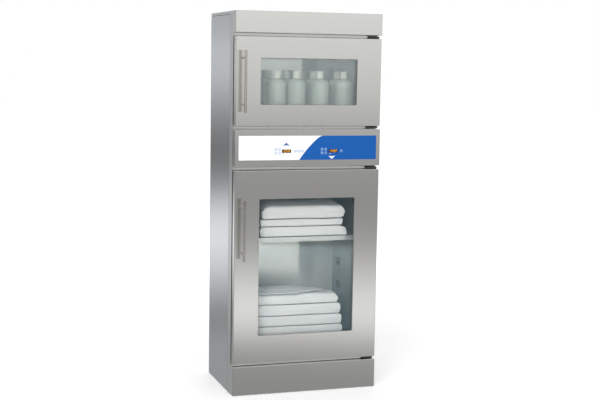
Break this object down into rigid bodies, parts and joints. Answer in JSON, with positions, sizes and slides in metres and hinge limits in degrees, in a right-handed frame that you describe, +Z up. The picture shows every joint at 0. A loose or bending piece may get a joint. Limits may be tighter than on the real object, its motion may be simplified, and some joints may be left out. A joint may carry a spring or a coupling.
{
  "type": "blanket and fluid warmer",
  "caption": "Free-standing steel warming cabinet with a small upper chamber for fluid bottles, a tall lower chamber for folded blankets, glazed doors and a control panel between.",
  "frame": {"origin": "on the floor, at the centre of the whole outline including the handles", "axes": "+X to the viewer's right, +Y to the back, +Z up; the doors face -Y"},
  "size_m": [0.753, 0.549, 1.892],
  "materials": {
    "brushed_steel": "satin",
    "frame_steel": "satin",
    "liner_steel": "satin",
    "hinge_steel": "satin",
    "handle_steel": "satin",
    "fastener_steel": "polished",
    "heater_sheath": "satin",
    "motor_housing": "satin",
    "fan_wheel": "satin",
    "bearing_brass": "satin",
    "black_rubber": "matte",
    "tinted_glass": "gloss",
    "overlay_film": "satin",
    "key_film": "satin",
    "display_lens": "gloss",
    "board_green": "satin",
    "black_plastic": "satin",
    "power_parts": "satin",
    "insulation_foam": "matte",
    "bottle_plastic": "satin",
    "cap_plastic": "satin",
    "white_cotton": "matte"
  },
  "bodies": {
    "cabinet": {"base_frame": "frame_steel", "cabinet_frame": "frame_steel", "side_panels": "brushed_steel", "top_panel": "brushed_steel", "back_panel": "brushed_steel", "panel_screws": "fastener_steel", "header_panel": "brushed_steel", "kick_panel": "brushed_steel", "control_fascia": "brushed_steel", "control_overlay": "overlay_film", "display_modules": "display_lens", "control_board": "board_green", "power_supply": "power_parts", "mains_inlet": "black_plastic", "lower_liner": "liner_steel", "upper_liner": "liner_steel", "duct_panels": "liner_steel", "floor_grilles": "liner_steel", "insulation": "insulation_foam", "heaters": "heater_sheath", "fan_motors": "motor_housing", "temperature_probes": "fastener_steel", "shelf_clips": "fastener_steel", "hinge_pivots": "hinge_steel", "bottles": "bottle_plastic", "bottle_caps": "cap_plastic", "floor_blankets": "white_cotton"},
    "lower_door": {"lower_door_skin": "brushed_steel", "lower_door_inner_panel": "liner_steel", "lower_door_core": "insulation_foam", "lower_door_panes": "tinted_glass", "lower_door_glazing_seals": "black_rubber", "lower_door_gasket": "black_rubber", "lower_door_handle": "handle_steel", "lower_door_bushes": "bearing_brass"},
    "upper_door": {"upper_door_skin": "brushed_steel", "upper_door_inner_panel": "liner_steel", "upper_door_core": "insulation_foam", "upper_door_panes": "tinted_glass", "upper_door_glazing_seals": "black_rubber", "upper_door_gasket": "black_rubber", "upper_door_handle": "handle_steel", "upper_door_bushes": "bearing_brass"},
    "shelf_and_blankets": {"shelf": "liner_steel", "shelf_blankets": "white_cotton"},
    "lower_fan": {"lower_fan_wheel": "fan_wheel"},
    "upper_fan": {"upper_fan_wheel": "fan_wheel"},
    "mains_switch": {"power_rocker": "black_plastic"},
    "upper_button_1_key": {"upper_button_1": "key_film"},
    "upper_button_2_key": {"upper_button_2": "key_film"},
    "upper_button_3_key": {"upper_button_3": "key_film"},
    "upper_button_4_key": {"upper_button_4": "key_film"},
    "upper_button_5_key": {"upper_button_5": "key_film"},
    "upper_button_6_key": {"upper_button_6": "key_film"},
    "upper_button_7_key": {"upper_button_7": "key_film"},
    "lower_button_1_key": {"lower_button_1": "key_film"},
    "lower_button_2_key": {"lower_button_2": "key_film"},
    "lower_button_3_key": {"lower_button_3": "key_film"},
    "lower_button_4_key": {"lower_button_4": "key_film"},
    "lower_button_5_key": {"lower_button_5": "key_film"}
  },
  "joints": [
    {"name": "lower_door_swing", "type": "hinge", "parent": "cabinet", "child": "lower_door", "pos_m": [0.358, -0.201, 0.641], "axis": [0, 0, 1], "range_deg": [0, 120]},
    {"name": "upper_door_swing", "type": "hinge", "parent": "cabinet", "child": "upper_door", "pos_m": [0.358, -0.201, 1.554], "axis": [0, 0, 1], "range_deg": [0, 120]},
    {"name": "upper_button_1_press", "type": "slide", "parent": "cabinet", "child": "upper_button_1_key", "axis": [0, 1, 0], "range_m": [0, 0.0006], "stiffness_N_per_m": 500},
    {"name": "upper_button_2_press", "type": "slide", "parent": "cabinet", "child": "upper_button_2_key", "axis": [0, 1, 0], "range_m": [0, 0.0006], "stiffness_N_per_m": 500},
    {"name": "upper_button_3_press", "type": "slide", "parent": "cabinet", "child": "upper_button_3_key", "axis": [0, 1, 0], "range_m": [0, 0.0006], "stiffness_N_per_m": 500},
    {"name": "upper_button_4_press", "type": "slide", "parent": "cabinet", "child": "upper_button_4_key", "axis": [0, 1, 0], "range_m": [0, 0.0006], "stiffness_N_per_m": 500},
    {"name": "upper_button_5_press", "type": "slide", "parent": "cabinet", "child": "upper_button_5_key", "axis": [0, 1, 0], "range_m": [0, 0.0006], "stiffness_N_per_m": 500},
    {"name": "upper_button_6_press", "type": "slide", "parent": "cabinet", "child": "upper_button_6_key", "axis": [0, 1, 0], "range_m": [0, 0.0006], "stiffness_N_per_m": 500},
    {"name": "upper_button_7_press", "type": "slide", "parent": "cabinet", "child": "upper_button_7_key", "axis": [0, 1, 0], "range_m": [0, 0.0006], "stiffness_N_per_m": 500},
    {"name": "lower_button_1_press", "type": "slide", "parent": "cabinet", "child": "lower_button_1_key", "axis": [0, 1, 0], "range_m": [0, 0.0006], "stiffness_N_per_m": 500},
    {"name": "lower_button_2_press", "type": "slide", "parent": "cabinet", "child": "lower_button_2_key", "axis": [0, 1, 0], "range_m": [0, 0.0006], "stiffness_N_per_m": 500},
    {"name": "lower_button_3_press", "type": "slide", "parent": "cabinet", "child": "lower_button_3_key", "axis": [0, 1, 0], "range_m": [0, 0.0006], "stiffness_N_per_m": 500},
    {"name": "lower_button_4_press", "type": "slide", "parent": "cabinet", "child": "lower_button_4_key", "axis": [0, 1, 0], "range_m": [0, 0.0006], "stiffness_N_per_m": 500},
    {"name": "lower_button_5_press", "type": "slide", "parent": "cabinet", "child": "lower_button_5_key", "axis": [0, 1, 0], "range_m": [0, 0.0006], "stiffness_N_per_m": 500},
    {"name": "shelf_lift", "type": "slide", "parent": "cabinet", "child": "shelf_and_blankets", "axis": [0, 0, 1], "range_m": [0, 0.02]},
    {"name": "lower_fan_spin", "type": "hinge", "parent": "cabinet", "child": "lower_fan", "pos_m": [0, 0.047, 0.1122], "axis": [0, 0, 1], "continuous": true},
    {"name": "upper_fan_spin", "type": "hinge", "parent": "cabinet", "child": "upper_fan", "pos_m": [0, 0.047, 1.29], "axis": [0, 0, 1], "continuous": true},
    {"name": "mains_switch_tip", "type": "hinge", "parent": "cabinet", "child": "mains_switch", "pos_m": [-0.233, 0.2705, 1.1622], "axis": [1, 0, 0], "range_deg": [0, 16]}
  ]
}
